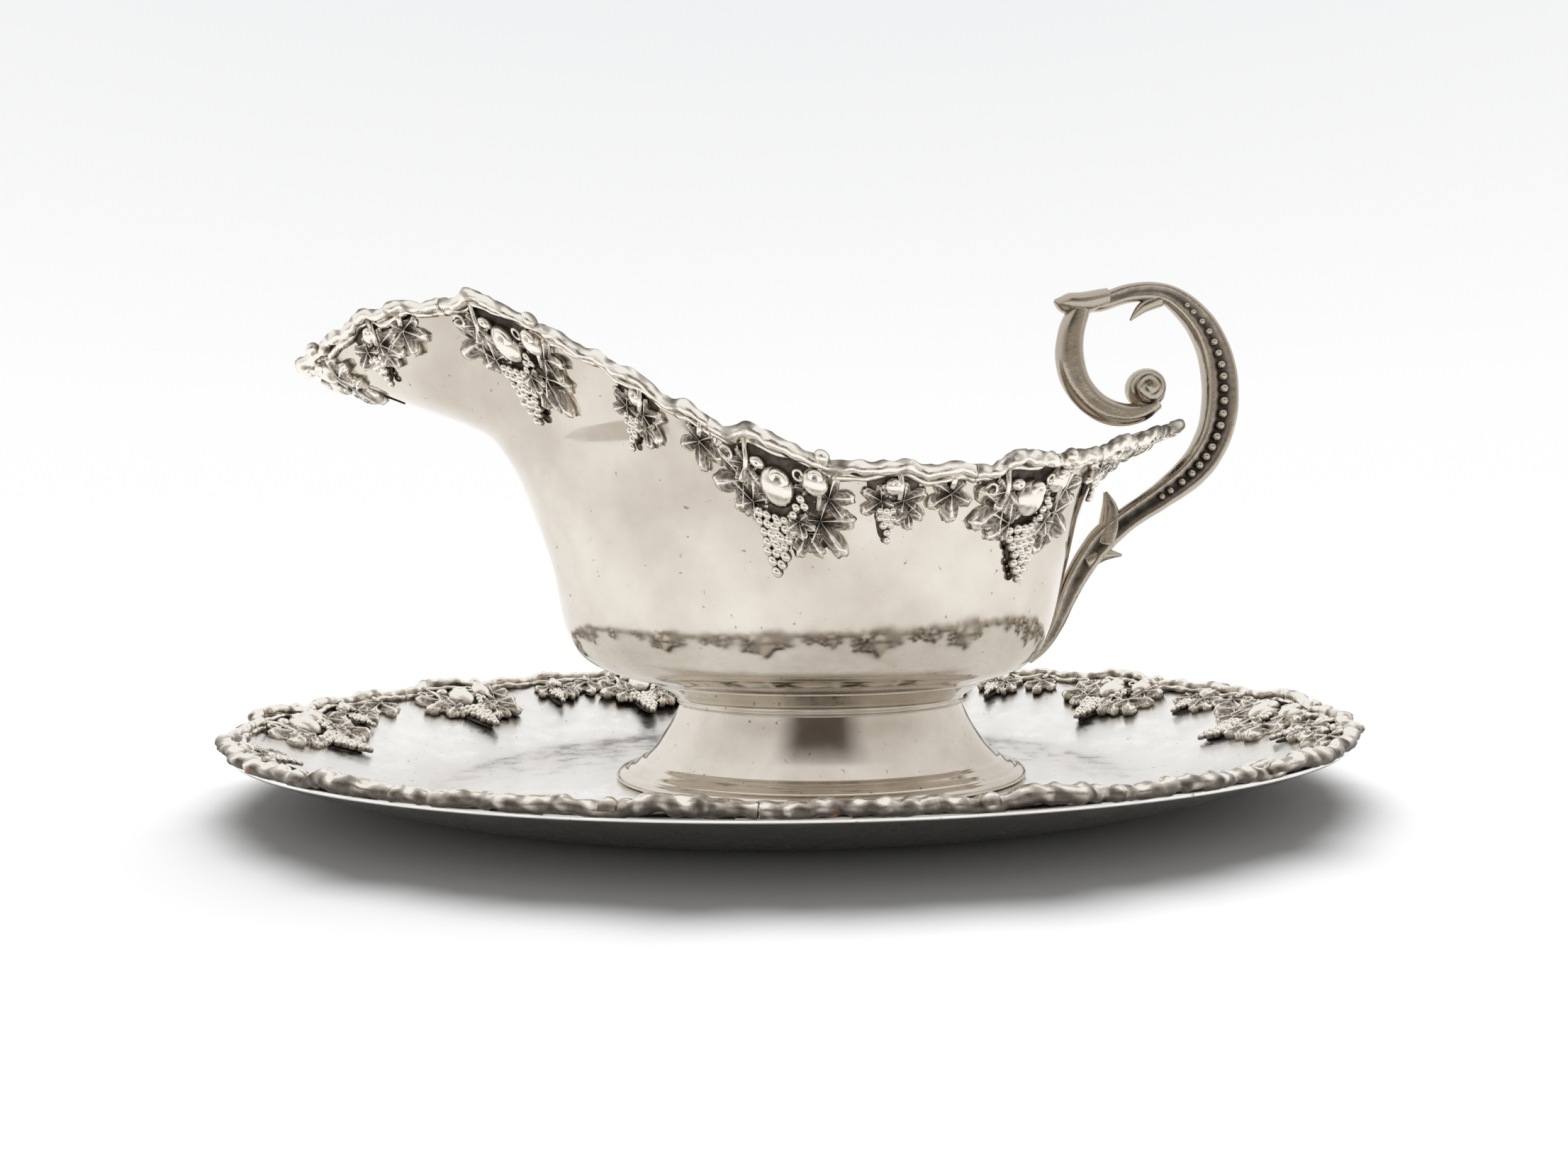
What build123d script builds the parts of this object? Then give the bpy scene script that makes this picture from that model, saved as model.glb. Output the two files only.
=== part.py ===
from build123d import *
import math
import os

# A silver-plated sauce boat standing loose on its oval under-tray. Both have a vine border: sections
# cast with leaves, fruit and grapes, soldered end to end round the edge.
#
# Frame: millimetres, +Z up, +X from the pouring lip to the handle, origin at the centre of the tray's
# flat underside. The whole object is symmetric in shape about the XZ plane, apart from the order of
# the ornaments round the borders.

# ---------------------------------------------------------------- driving dimensions
OVAL_ASPECT = 0.72        # width over length of every plain oval
SHEET = 1.3               # thickness of the tray and of the boat's bowl
FOOT_SHEET = 1.2
FOOT_TOP_WALL = 1.9       # width of the foot's top face, where the bowl stands on it

TRAY_HALF_LENGTH = 136.0
TRAY_FLAT_HALF_LENGTH = 86.0
TRAY_RIM_Z = 15.5         # top face of the sheet at the tray's edge

BOAT_X = 5.0              # the foot's centre, in the lines of the boat below
BOAT_SHIFT = 3.0          # the boat stands this much further towards the handle's side on the tray
BOWL_BASE_Z = 26.0        # the plane where foot and bowl meet
BOWL_TURN_POINTS = 16

# The foot's outer outline, half length against height above the tray's floor.
FOOT_EDGE = [(52.0, 0.0), (52.4, 1.1), (51.4, 2.1), (49.2, 2.5)]
FOOT_STEP = [(49.2, 2.5), (48.4, 3.4), (46.4, 4.6)]
FOOT_COVE = [(46.4, 4.6), (42.2, 8.6), (38.5, 14.0), (36.4, 18.6)]
FOOT_RING = [(36.4, 18.6), (37.8, 19.6), (39.4, 21.4), (43.0, BOWL_BASE_Z - SHEET)]
FOOT_HOLLOW = [(49.4, 1.3), (45.4, 3.6), (40.9, 7.8), (37.2, 13.6), (35.1, 18.8), (37.0, 21.2)]

# The bowl's lines, level by level: height, lip end, handle end, half width, how much the section
# narrows towards the lip, and where along X it is widest. Above the rim they are only construction.
BOWL_LINES = [
    (26.0, -38.0, 48.0, 31.0, 0.00, 5.0),
    (29.5, -50.0, 57.0, 38.5, 0.00, 4.5),
    (34.0, -56.5, 61.3, 42.3, 0.00, 4.0),
    (41.0, -60.0, 64.3, 44.4, 0.02, 4.0),
    (54.0, -62.5, 67.5, 46.0, 0.05, 5.0),
    (66.0, -66.3, 70.5, 47.2, 0.08, 7.0),
    (76.0, -70.0, 74.5, 49.0, 0.10, 10.0),
    (83.0, -73.8, 81.5, 51.0, 0.14, 12.0),
    (88.0, -77.5, 90.5, 52.5, 0.20, 14.0),
    (92.0, -85.0, 98.5, 53.5, 0.27, 15.0),
    (97.0, -98.5, 104.5, 54.5, 0.38, 15.0),
    (103.0, -114.0, 109.5, 55.5, 0.50, 15.0),
    (110.0, -128.0, 114.0, 56.2, 0.56, 15.0),
    (122.0, -140.0, 121.0, 57.0, 0.58, 15.0),
]

# The rim seen from the side: X against Z of the bowl's cut edge.
RIM_LINE = [
    (-150.0, 94.0), (-125.0, 106.0), (-112.0, 111.6), (-95.0, 116.2), (-80.0, 116.6), (-62.0, 111.4),
    (-43.0, 101.0), (-27.0, 90.8), (-13.0, 83.3), (0.0, 78.6), (15.0, 76.0), (30.0, 75.7),
    (45.0, 76.7), (62.0, 79.8), (79.0, 85.0), (94.6, 89.6), (125.0, 95.0),
]

# The handle's parts, all centred on the XZ plane: X, Z and radius along each.
HANDLE_BOW = [
    (70.0, 121.2, 2.2), (77.0, 121.2, 2.4), (85.0, 123.4, 2.4), (93.0, 123.3, 2.5), (98.8, 119.8, 3.1),
    (103.8, 113.8, 3.7), (106.9, 106.4, 4.1), (108.0, 98.3, 4.4), (107.2, 89.8, 4.4), (104.2, 82.6, 4.3),
    (99.4, 76.8, 4.0), (92.6, 71.6, 3.4), (85.0, 66.6, 3.1), (78.6, 61.6, 3.5), (74.4, 56.4, 3.2),
    (71.1, 51.0, 2.9), (68.4, 45.0, 2.4), (66.0, 39.0, 1.9), (62.6, 33.6, 1.6), (58.6, 30.2, 1.5),
]
HANDLE_SCROLL = [
    (72.0, 119.6, 2.8), (69.9, 113.5, 3.3), (69.6, 106.6, 3.6), (71.6, 100.3, 3.5), (75.9, 95.4, 3.3),
    (81.6, 92.9, 3.1), (87.4, 93.2, 2.6), (91.6, 95.9, 2.2),
]
HANDLE_UPRIGHT_LEAF = [(78.5, 59.5, 2.6), (79.6, 64.5, 2.5), (79.8, 69.0, 2.0), (78.9, 72.4, 1.2)]
HANDLE_SPUR_LEAF = [(73.5, 55.0, 2.2), (78.0, 56.9, 1.7), (82.4, 56.8, 1.1)]
HANDLE_TONGUE = [(92.5, 121.6, 1.8), (88.2, 119.8, 1.5), (85.4, 117.0, 0.9)]
THUMB_LEAF_TIP = (68.4, 120.8, 2.9)
VOLUTE = (89.0, 99.2, 5.2)

# The borders, in millimetres round the edge from the lip end: where each section's large cluster sits,
# and how far after it come its small bunch and its small leaf. The spacing isn't even. The boat's sections
# run along the near side first, the tray's along the far side.
BOAT_CLUSTERS = [
    (0.0, 28.0, 39.0), (66.5, 38.0, 56.0), (139.7, 25.0, 38.5), (198.0, 29.0, 42.0),
    (259.4, 27.0, 42.0), (324.3, 27.0, 42.0), (389.1, 27.0, 42.0), (454.0, 27.0, 42.0),
]
TRAY_CLUSTERS = [
    (5.0, 23.0, 36.0), (67.0, 34.0, 46.0), (130.0, 22.0, 35.0), (182.0, 22.0, 34.0), (233.0, 27.0, 42.0),
    (300.0, 30.0, 42.0), (358.0, 26.0, 45.0), (448.0, 28.0, 41.0), (511.0, 28.0, 41.0), (575.0, 27.0, 40.0),
    (643.0, 61.0, 27.0),
]
LEAD = 14.5               # how far before its large cluster a section starts
SECTION_GAP = 0.25        # open joint between neighbours along the branch
SPOUT_LEAN = 0.3          # how much the mounts on the pouring channel lean towards the handle
LEAN_START_X = -40.0      # from here towards the lip the lean grows,
LEAN_RUN = 25.0           # and it is full this much further on
LEAN_FADE = 0.6           # the lean fades out round the lip, below this much of the edge's run along X

# One section's ornaments, in its own coordinates: along the edge, from the edge inwards, and size. What
# hangs from the small bunch and the small leaf is counted from their own places.
BRANCH_RADIUS = 1.7
BRANCH_SWELL = 0.5        # how much thicker the branch is over the large cluster
SWELL_REACH = 9.0
CLUSTER_LEAVES = [(-9.2, 9.6, 6.4, 150.0), (9.8, 14.2, 7.4, -40.0)]
BUNCH_LEAF = (2.0, 7.2, 6.2, -100.0)
SMALL_LEAF = (0.0, 6.2, 5.2, -80.0)
LEAF_THICKNESS = 1.9
LEAF_STEP = 0.13          # each next leaf is this much thicker, so that no two faces coincide
LEAF_SINK = 0.9           # how far a leaf's back lies inside the sheet it is soldered to
LEAF_NOTCH = 0.62         # how near its middle a leaf's notches reach, as a share of its lobes
STEM_RADIUS = 1.0
FRUITS = [(0.4, 8.2, 4.3), (9.2, 5.4, 3.6)]
FRUIT_SINK = 0.45
LARGE_BUNCH = (0.2, 13.0, 4.6, 12.0, 2.7)      # ..., half width, length, height
SMALL_BUNCH = (0.0, 9.4, 2.9, 7.0, 2.4)
BUNCH_SINK = 0.65


# ---------------------------------------------------------------- small helpers
def smooth(table, at):
    """Monotone cubic through rows of (x, value...), so that a line never overshoots its points."""
    xs = [row[0] for row in table]
    at = min(max(at, xs[0]), xs[-1])
    i = max(j for j in range(len(xs) - 1) if xs[j] <= at)
    out = []
    for column in range(1, len(table[0])):
        ys = [row[column] for row in table]
        steps = [(ys[j + 1] - ys[j]) / (xs[j + 1] - xs[j]) for j in range(len(xs) - 1)]

        def slope(j):
            if j == 0:
                return steps[0]
            if j == len(xs) - 1:
                return steps[-1]
            if steps[j - 1] * steps[j] <= 0:
                return 0.0
            return 2 * steps[j - 1] * steps[j] / (steps[j - 1] + steps[j])

        h = xs[i + 1] - xs[i]
        t = (at - xs[i]) / h
        rise = (2 * t**3 - 3 * t**2 + 1) * ys[i] + (3 * t**2 - 2 * t**3) * ys[i + 1]
        lean = (t**3 - 2 * t**2 + t) * h * slope(i) + (t**3 - t**2) * h * slope(i + 1)
        out.append(rise + lean)
    return out


def tube(points, radii, side):
    """A round bar through the points, with a radius at each. side is a direction never along it."""
    sections = []
    for i, (point, radius) in enumerate(zip(points, radii)):
        before, after = points[max(i - 1, 0)], points[min(i + 1, len(points) - 1)]
        along = (Vector(after) - Vector(before)).normalized()
        across = Vector(side).cross(along).normalized()
        plane = Plane(origin=point, x_dir=across, z_dir=along)
        sections.append(plane * Circle(radius))
    return loft(sections)


def oval_solid(outline_lines):
    """Turns a closed outline in X and Z round the Z axis and narrows it to the oval."""
    face = Plane.XZ * make_face(outline_lines)
    return scale(revolve(face, Axis.Z, 360), by=(1, OVAL_ASPECT, 1))


def slab(low, high):
    """A block from one height to another, wider than the whole object."""
    return Pos(0, 0, (low + high) / 2) * Box(400, 400, high - low)


# ---------------------------------------------------------------- tray
def tray_height(half_length):
    """Height of the tray's upper face where the oval of that half length lies on it."""
    start, rise = TRAY_FLAT_HALF_LENGTH, TRAY_RIM_Z - SHEET
    t = max(0.0, (half_length - start) / (TRAY_HALF_LENGTH - start))
    return SHEET + rise * t**1.5


def tray():
    stations = [TRAY_FLAT_HALF_LENGTH + (TRAY_HALF_LENGTH - TRAY_FLAT_HALF_LENGTH) * i / 5 for i in range(6)]
    below_table = -2.0
    upper = [(r, tray_height(r)) for r in stations]
    lower = [(r, z - SHEET) for r, z in upper]
    outline = [
        Line((0, below_table), (TRAY_FLAT_HALF_LENGTH - 4, below_table)),
        Line((TRAY_FLAT_HALF_LENGTH - 4, below_table), lower[0]),
        Spline(lower),
        Line(lower[-1], upper[-1]),
        Spline(upper),
        Line(upper[0], (0, SHEET)),
        Line((0, SHEET), (0, below_table)),
    ]
    return oval_solid(outline) & slab(0, 50)


# ---------------------------------------------------------------- foot
def foot():
    outer = [(r, z + SHEET) for r, z in FOOT_EDGE + FOOT_STEP[1:] + FOOT_COVE[1:] + FOOT_RING[1:]]
    joints = [0, len(FOOT_EDGE) - 1]
    joints.append(joints[-1] + len(FOOT_STEP) - 1)
    joints.append(joints[-1] + len(FOOT_COVE) - 1)
    joints.append(joints[-1] + len(FOOT_RING) - 1)
    outside = [Spline(outer[a : b + 1]) for a, b in zip(joints, joints[1:])]
    top, foot_of_wall = outer[-1], (outer[0][0] - FOOT_SHEET, outer[0][1])
    hollow = [(r, z + SHEET) for r, z in FOOT_HOLLOW]
    inner = [foot_of_wall, *hollow, (top[0] - FOOT_TOP_WALL, top[1])]
    outline = outside + [
        Line(top, inner[-1]),
        Polyline(list(reversed(inner))),
        Line(inner[0], outer[0]),
    ]
    return Pos(BOAT_X, 0, 0) * (oval_solid(outline) & slab(SHEET, BOWL_BASE_Z))


# ---------------------------------------------------------------- bowl
def bowl_point(angle, z, inset=0.0):
    """A point of the bowl's outer face at a height. Angle 0 is the handle end, 180 the lip."""
    lip, tail, width, pinch, widest = smooth(BOWL_LINES, z)
    if inset:
        step = 0.5
        near = smooth(BOWL_LINES, z + step)
        slant = [math.hypot(1.0, (near[i] - value) / step) for i, value in enumerate((lip, tail, width))]
        lip += inset * slant[0]
        tail -= inset * slant[1]
        width -= inset * slant[2]
    c, s = math.cos(angle), math.sin(angle)
    reach = abs(c)
    narrowing = 1.0 - (pinch * reach**2 * (3 - 2 * reach) if c < 0 else 0.0)
    x = widest + (tail - widest) * c if c >= 0 else widest - (widest - lip) * reach
    return (x, width * s * narrowing, z)


def bowl_section(z, inset, lift=0.0):
    points = [bowl_point(2 * math.pi * i / BOWL_TURN_POINTS, z, inset) for i in range(BOWL_TURN_POINTS)]
    return make_face(Spline([(x, y, level + lift) for x, y, level in points], periodic=True))


def rim_height(x):
    return smooth(RIM_LINE, x)[0]


def above_the_rim():
    """Everything over the rim line, as a block that cuts the bowl to its swept edge."""
    top = BOWL_LINES[-1][0] + 30.0
    first, last = RIM_LINE[0], RIM_LINE[-1]
    outline = [
        Spline(RIM_LINE), Line(last, (last[0], top)), Line((last[0], top), (first[0], top)),
        Line((first[0], top), first),
    ]
    return extrude(Plane.XZ * make_face(outline), amount=80, both=True)


def bowl():
    levels = [row[0] for row in BOWL_LINES]
    outer = loft([bowl_section(z, 0.0) for z in levels], ruled=True)
    hollow = [bowl_section(z, SHEET) for z in [BOWL_BASE_Z + SHEET] + levels[1:]]
    hollow.append(bowl_section(levels[-1], SHEET, lift=8.0))
    return (outer - above_the_rim()) - loft(hollow, ruled=True)


# ---------------------------------------------------------------- handle
def handle_bar(rows):
    return tube([(x, 0, z) for x, z, _ in rows], [r for _, _, r in rows], (0, 1, 0))


def ball(x, y, z, radius):
    return Pos(x, y, z) * Sphere(radius)


def handle():
    thumb_x, thumb_z, thumb_r = THUMB_LEAF_TIP
    volute_x, volute_z, volute_r = VOLUTE
    whole = handle_bar(HANDLE_BOW)
    for rows in (HANDLE_SCROLL, HANDLE_UPRIGHT_LEAF, HANDLE_SPUR_LEAF, HANDLE_TONGUE):
        whole += handle_bar(rows)
    whole += ball(thumb_x, 0, thumb_z, thumb_r)
    whole += ball(volute_x, 0, volute_z, volute_r)
    return whole


# ---------------------------------------------------------------- edges that the borders follow
def boat_rim_point(angle):
    """Where the bowl's outer face at that angle reaches the rim, found by halving."""
    low, high = 60.0, 121.9
    for _ in range(40):
        z = (low + high) / 2
        if z < rim_height(bowl_point(angle, z)[0]):
            low = z
        else:
            high = z
    return Vector(bowl_point(angle, low))


def face_normal(angle, z):
    along = Vector(bowl_point(angle + 0.01, z)) - Vector(bowl_point(angle - 0.01, z))
    down = Vector(bowl_point(angle, z - 0.2)) - Vector(bowl_point(angle, z + 0.2))
    return down.cross(along).normalized()


def boat_surface(angle, inwards):
    """A point that far down the bowl's outer face, and the face's outward normal.

    The way down from the rim stays in the upright plane square to the edge, or leans a little towards the
    handle on the pouring channel.
    """
    rim = boat_rim_point(angle)
    beside = boat_rim_point(angle + 0.01) - boat_rim_point(angle - 0.01)
    level = Vector(beside.X, beside.Y, 0).normalized()
    lean = SPOUT_LEAN * min(max((LEAN_START_X - rim.X) / LEAN_RUN, 0.0), 1.0)
    lean *= max(-1.0, min(1.0, level.X / LEAN_FADE))
    point, turn, z, gone, step = rim, angle, rim.Z, 0.0, 1.0
    while gone < inwards:
        z -= step
        wanted = lean * (rim.Z - z)
        for _ in range(3):
            miss = (Vector(bowl_point(turn, z)) - rim).dot(level) - wanted
            rate = (Vector(bowl_point(turn + 0.01, z)) - Vector(bowl_point(turn - 0.01, z))).dot(level) / 0.02
            turn -= max(-0.05, min(0.05, miss / rate))
        lower = Vector(bowl_point(turn, z))
        length = (lower - point).length
        if gone + length > inwards:
            lower = point + (lower - point) * ((inwards - gone) / length)
            z += step * (1 - (inwards - gone) / length)
        gone += length
        point = lower
    return point, face_normal(turn, z)


def tray_surface(angle, inwards):
    """The same for the tray's upper face, whose ornaments lie inwards from its edge."""
    along_slope = 0.97
    half = TRAY_HALF_LENGTH - inwards * along_slope
    width = TRAY_HALF_LENGTH * OVAL_ASPECT - inwards * along_slope

    def at(h, w):
        share = max(h / TRAY_HALF_LENGTH, 0.0)
        return Vector(h * math.cos(angle), w * math.sin(angle), tray_height(share * TRAY_HALF_LENGTH))

    point = at(half, width)
    outward = at(half + 0.5, width + 0.5) - point
    round_the_edge = Vector(-half * math.sin(angle), width * math.cos(angle), 0)
    return point, outward.cross(round_the_edge).normalized()


def edge_map(surface, direction):
    """Angle against distance round an edge, as a list of (distance, angle), starting at the lip end."""
    steps = 360
    rows, gone, last = [], 0.0, None
    for i in range(steps + 1):
        angle = math.pi + direction * 2 * math.pi * i / steps
        point = surface(angle, 0.0)[0]
        gone += (point - last).length if last else 0.0
        rows.append((gone, angle))
        last = point
    return rows


def angle_at(rows, distance):
    total = rows[-1][0]
    turns, distance = divmod(distance, total)
    after = next(i for i, row in enumerate(rows) if row[0] >= distance)
    if after == 0:
        return rows[0][1] + turns * (rows[-1][1] - rows[0][1])
    (d0, a0), (d1, a1) = rows[after - 1], rows[after]
    return a0 + (a1 - a0) * (distance - d0) / (d1 - d0) + turns * (rows[-1][1] - rows[0][1])


# ---------------------------------------------------------------- border sections
def leaf_plate(size, turn, thickness, seat):
    """A five-lobed vine leaf as a flat plate."""
    points = []
    for i in range(10):
        a = math.radians(turn + 36 * i)
        reach = size * (LEAF_NOTCH if i % 2 else 1.0)
        points.append((reach * math.cos(a), reach * math.sin(a)))
    plate = extrude(make_face(Polyline(points, close=True)), amount=thickness + LEAF_SINK)
    return seat * Pos(0, 0, -LEAF_SINK) * plate


def bunch_body(half_width, length, height, seat):
    """A bunch of grapes as one tapering body, hanging from its seat."""
    outline = [
        (-0.55 * half_width, 0.2 * length), (0.55 * half_width, 0.2 * length), (half_width, -0.05 * length),
        (0.75 * half_width, -0.45 * length), (0.0, -0.95 * length), (-0.75 * half_width, -0.45 * length),
        (-half_width, -0.05 * length),
    ]
    body = extrude(make_face(Polyline(outline, close=True)), amount=height + BUNCH_SINK, taper=12)
    return seat * Pos(0, 0, -BUNCH_SINK) * body


def border_section(rows, surface, centre, bunch_at, leaf_at, length):
    """One cast section: its piece of branch, and the leaves, fruit and grapes that hang from it."""

    def seat(along, inwards):
        point, normal = surface(angle_at(rows, centre + along), inwards)
        beside = surface(angle_at(rows, centre + along + 0.5), inwards)[0] - point
        across = (beside - normal * beside.dot(normal)).normalized()
        return Plane(origin=point, x_dir=across, z_dir=normal)

    spans = 10
    first, bar = -LEAD + SECTION_GAP / 2, length - SECTION_GAP
    stations = [first + bar * i / spans for i in range(spans + 1)]
    spine = [tuple(seat(a, 0.0).origin) for a in stations]
    radii = [BRANCH_RADIUS + BRANCH_SWELL * math.exp(-((a / SWELL_REACH) ** 2)) for a in stations]
    pieces = []
    bunch_along, leaf_along = BUNCH_LEAF[0] + bunch_at, SMALL_LEAF[0] + leaf_at
    leaves = CLUSTER_LEAVES + [(bunch_along, *BUNCH_LEAF[1:]), (leaf_along, *SMALL_LEAF[1:])]
    for order, (along, inwards, size, turn) in enumerate(leaves):
        plane, edge = seat(along, inwards), seat(along, 0.0)
        pieces.append(leaf_plate(size, turn, LEAF_THICKNESS + LEAF_STEP * order, plane.location))
        stem = [tuple(edge.origin), tuple(plane.origin + plane.z_dir * 0.4)]
        pieces.append(tube(stem, [STEM_RADIUS] * 2, tuple(plane.x_dir)))
    for along, inwards, radius in FRUITS:
        dome = Sphere(radius, arc_size1=0)
        pieces.append(seat(along, inwards).location * Pos(0, 0, -FRUIT_SINK) * dome)
    for shift, bunch in ((0.0, LARGE_BUNCH), (bunch_at, SMALL_BUNCH)):
        along, inwards, half_width, bunch_length, height = bunch
        place = seat(along + shift, inwards).location
        pieces.append(bunch_body(half_width, bunch_length, height, place))
    return tube(spine, radii, tuple(seat(0.0, 0.0).z_dir)) + pieces


def borders(name, surface, direction, clusters):
    """Every section of one border, by node name."""
    rows = edge_map(surface, direction)
    edge = rows[-1][0]
    made = {}
    following = [row[0] for row in clusters[1:]] + [edge + clusters[0][0]]
    for i, ((centre, bunch_at, leaf_at), end) in enumerate(zip(clusters, following)):
        made[f"{name}_{i + 1:02d}"] = border_section(rows, surface, centre, bunch_at, leaf_at, end - centre)
    return made


# ---------------------------------------------------------------- write every piece
def main():
    os.makedirs("parts", exist_ok=True)
    nodes = {"tray_dish": tray()}
    nodes.update(borders("tray_border", tray_surface, -1, TRAY_CLUSTERS))
    boat = {"boat_foot": foot(), "boat_bowl": bowl(), "boat_handle": handle()}
    boat.update(borders("boat_border", boat_surface, 1, BOAT_CLUSTERS))
    nodes.update({node: Pos(BOAT_SHIFT, 0, 0) * shape for node, shape in boat.items()})
    for node, shape in nodes.items():
        export_step(shape, f"parts/{node}.step")
        solids = shape.solids()
        assert len(solids) == 1, f"{node} is in {len(solids)} pieces"
        print(node, round(solids[0].volume))


main()
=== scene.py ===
import math

import bpy
import numpy as np
from mathutils import Matrix, Vector


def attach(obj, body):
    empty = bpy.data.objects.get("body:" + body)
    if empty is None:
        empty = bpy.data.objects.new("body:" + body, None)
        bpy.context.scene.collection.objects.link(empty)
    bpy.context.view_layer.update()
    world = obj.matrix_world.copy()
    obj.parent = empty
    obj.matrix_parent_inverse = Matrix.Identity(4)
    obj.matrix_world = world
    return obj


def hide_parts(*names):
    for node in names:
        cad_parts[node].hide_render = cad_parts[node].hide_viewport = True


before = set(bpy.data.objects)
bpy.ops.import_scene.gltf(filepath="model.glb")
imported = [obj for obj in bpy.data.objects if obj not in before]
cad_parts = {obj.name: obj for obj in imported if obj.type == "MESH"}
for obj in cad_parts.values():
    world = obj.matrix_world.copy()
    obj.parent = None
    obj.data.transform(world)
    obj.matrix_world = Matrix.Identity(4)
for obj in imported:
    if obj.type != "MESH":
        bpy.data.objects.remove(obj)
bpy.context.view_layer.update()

# A silver-plated sauce boat standing on its under-tray, both edged with cast vine borders.
# Everything below is worked out in millimetres and scaled to metres when a mesh is made.

MM = 0.001
OVAL_ASPECT = 0.72
SHEET = 1.3
BOAT_X = 5.0
BOAT_SHIFT = 3.0
BOWL_BASE_Z = 26.0
TRAY_HALF_LENGTH = 136.0
TRAY_FLAT_HALF_LENGTH = 86.0
TRAY_RIM_Z = 15.5

# Round each edge from the lip end: a section's large cluster, and how far on its small bunch and leaf are.
BOAT_CLUSTERS = [
    (0.0, 28.0, 39.0), (66.5, 38.0, 56.0), (139.7, 25.0, 38.5), (198.0, 29.0, 42.0),
    (259.4, 27.0, 42.0), (324.3, 27.0, 42.0), (389.1, 27.0, 42.0), (454.0, 27.0, 42.0),
]
TRAY_CLUSTERS = [
    (5.0, 23.0, 36.0), (67.0, 34.0, 46.0), (130.0, 22.0, 35.0), (182.0, 22.0, 34.0), (233.0, 27.0, 42.0),
    (300.0, 30.0, 42.0), (358.0, 26.0, 45.0), (448.0, 28.0, 41.0), (511.0, 28.0, 41.0), (575.0, 27.0, 40.0),
    (643.0, 61.0, 27.0),
]
LEAD = 14.5                   # a section starts this far before its large cluster
MOUNT_SINK = 0.4 * SHEET      # nothing on a mount lies deeper in the sheet than this
SPOUT_LEAN = 0.3
LEAN_START_X = -40.0
LEAN_RUN = 25.0
LEAN_FADE = 0.6

# Height, lip end, handle end, half width, narrowing towards the lip, and where it is widest.
BOWL_LINES = np.array([
    (26.0, -38.0, 48.0, 31.0, 0.00, 5.0),
    (29.5, -50.0, 57.0, 38.5, 0.00, 4.5),
    (34.0, -56.5, 61.3, 42.3, 0.00, 4.0),
    (41.0, -60.0, 64.3, 44.4, 0.02, 4.0),
    (54.0, -62.5, 67.5, 46.0, 0.05, 5.0),
    (66.0, -66.3, 70.5, 47.2, 0.08, 7.0),
    (76.0, -70.0, 74.5, 49.0, 0.10, 10.0),
    (83.0, -73.8, 81.5, 51.0, 0.14, 12.0),
    (88.0, -77.5, 90.5, 52.5, 0.20, 14.0),
    (92.0, -85.0, 98.5, 53.5, 0.27, 15.0),
    (97.0, -98.5, 104.5, 54.5, 0.38, 15.0),
    (103.0, -114.0, 109.5, 55.5, 0.50, 15.0),
    (110.0, -128.0, 114.0, 56.2, 0.56, 15.0),
    (122.0, -140.0, 121.0, 57.0, 0.58, 15.0),
])
RIM_LINE = np.array([
    (-150.0, 94.0), (-125.0, 106.0), (-112.0, 111.6), (-95.0, 116.2), (-80.0, 116.6), (-62.0, 111.4),
    (-43.0, 101.0), (-27.0, 90.8), (-13.0, 83.3), (0.0, 78.6), (15.0, 76.0), (30.0, 75.7),
    (45.0, 76.7), (62.0, 79.8), (79.0, 85.0), (94.6, 89.6), (125.0, 95.0),
])


# ------------------------------------------------------------------ numbers
def smooth(table, at):
    """Monotone cubic through the rows of a table, so that a line never overshoots its points."""
    xs, ys = table[:, 0], table[:, 1:]
    at = np.clip(np.asarray(at, float), xs[0], xs[-1])
    steps = np.diff(ys, axis=0) / np.diff(xs)[:, None]
    slopes = np.zeros_like(ys)
    slopes[0], slopes[-1] = steps[0], steps[-1]
    both = steps[:-1] * steps[1:]
    total = np.where(np.abs(steps[:-1] + steps[1:]) < 1e-9, 1.0, steps[:-1] + steps[1:])
    slopes[1:-1] = np.where(both > 0, 2 * both / total, 0.0)
    i = np.clip(np.searchsorted(xs, at, side="right") - 1, 0, len(xs) - 2)
    h = (xs[i + 1] - xs[i])[..., None]
    t = ((at - xs[i])[..., None]) / h
    rise = (2 * t**3 - 3 * t**2 + 1) * ys[i] + (3 * t**2 - 2 * t**3) * ys[i + 1]
    return rise + (t**3 - 2 * t**2 + t) * h * slopes[i] + (t**3 - t**2) * h * slopes[i + 1]


def spline(points, count, closed=False):
    """Catmull-Rom through the rows of points, evenly spread over their parameter."""
    points = np.asarray(points, float)
    n = len(points)
    spans = n if closed else n - 1
    u = np.linspace(0, spans, count, endpoint=not closed)
    i = np.minimum(u.astype(int), spans - 1)
    t = (u - i)[:, None]

    def row(k):
        return points[k % n] if closed else points[np.clip(k, 0, n - 1)]

    a, b, c, d = row(i - 1), row(i), row(i + 1), row(i + 2)
    return 0.5 * (2 * b + (c - a) * t + (2 * a - 5 * b + 4 * c - d) * t**2 + (3 * b - a - 3 * c + d) * t**3)


def unit(vectors):
    return vectors / np.maximum(np.linalg.norm(vectors, axis=-1, keepdims=True), 1e-12)


def grain(points, scale, seed):
    """Soft, repeatable unevenness: a few crossed waves, between about -1 and 1."""
    rng = np.random.default_rng(seed)
    total = np.zeros(points.shape[:-1])
    for _ in range(5):
        way = unit(rng.normal(size=3)) * rng.uniform(0.6, 1.5) / scale
        total += np.sin(points @ way * 2 * math.pi + rng.uniform(0, 6.28))
    return total / 2.5


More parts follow.
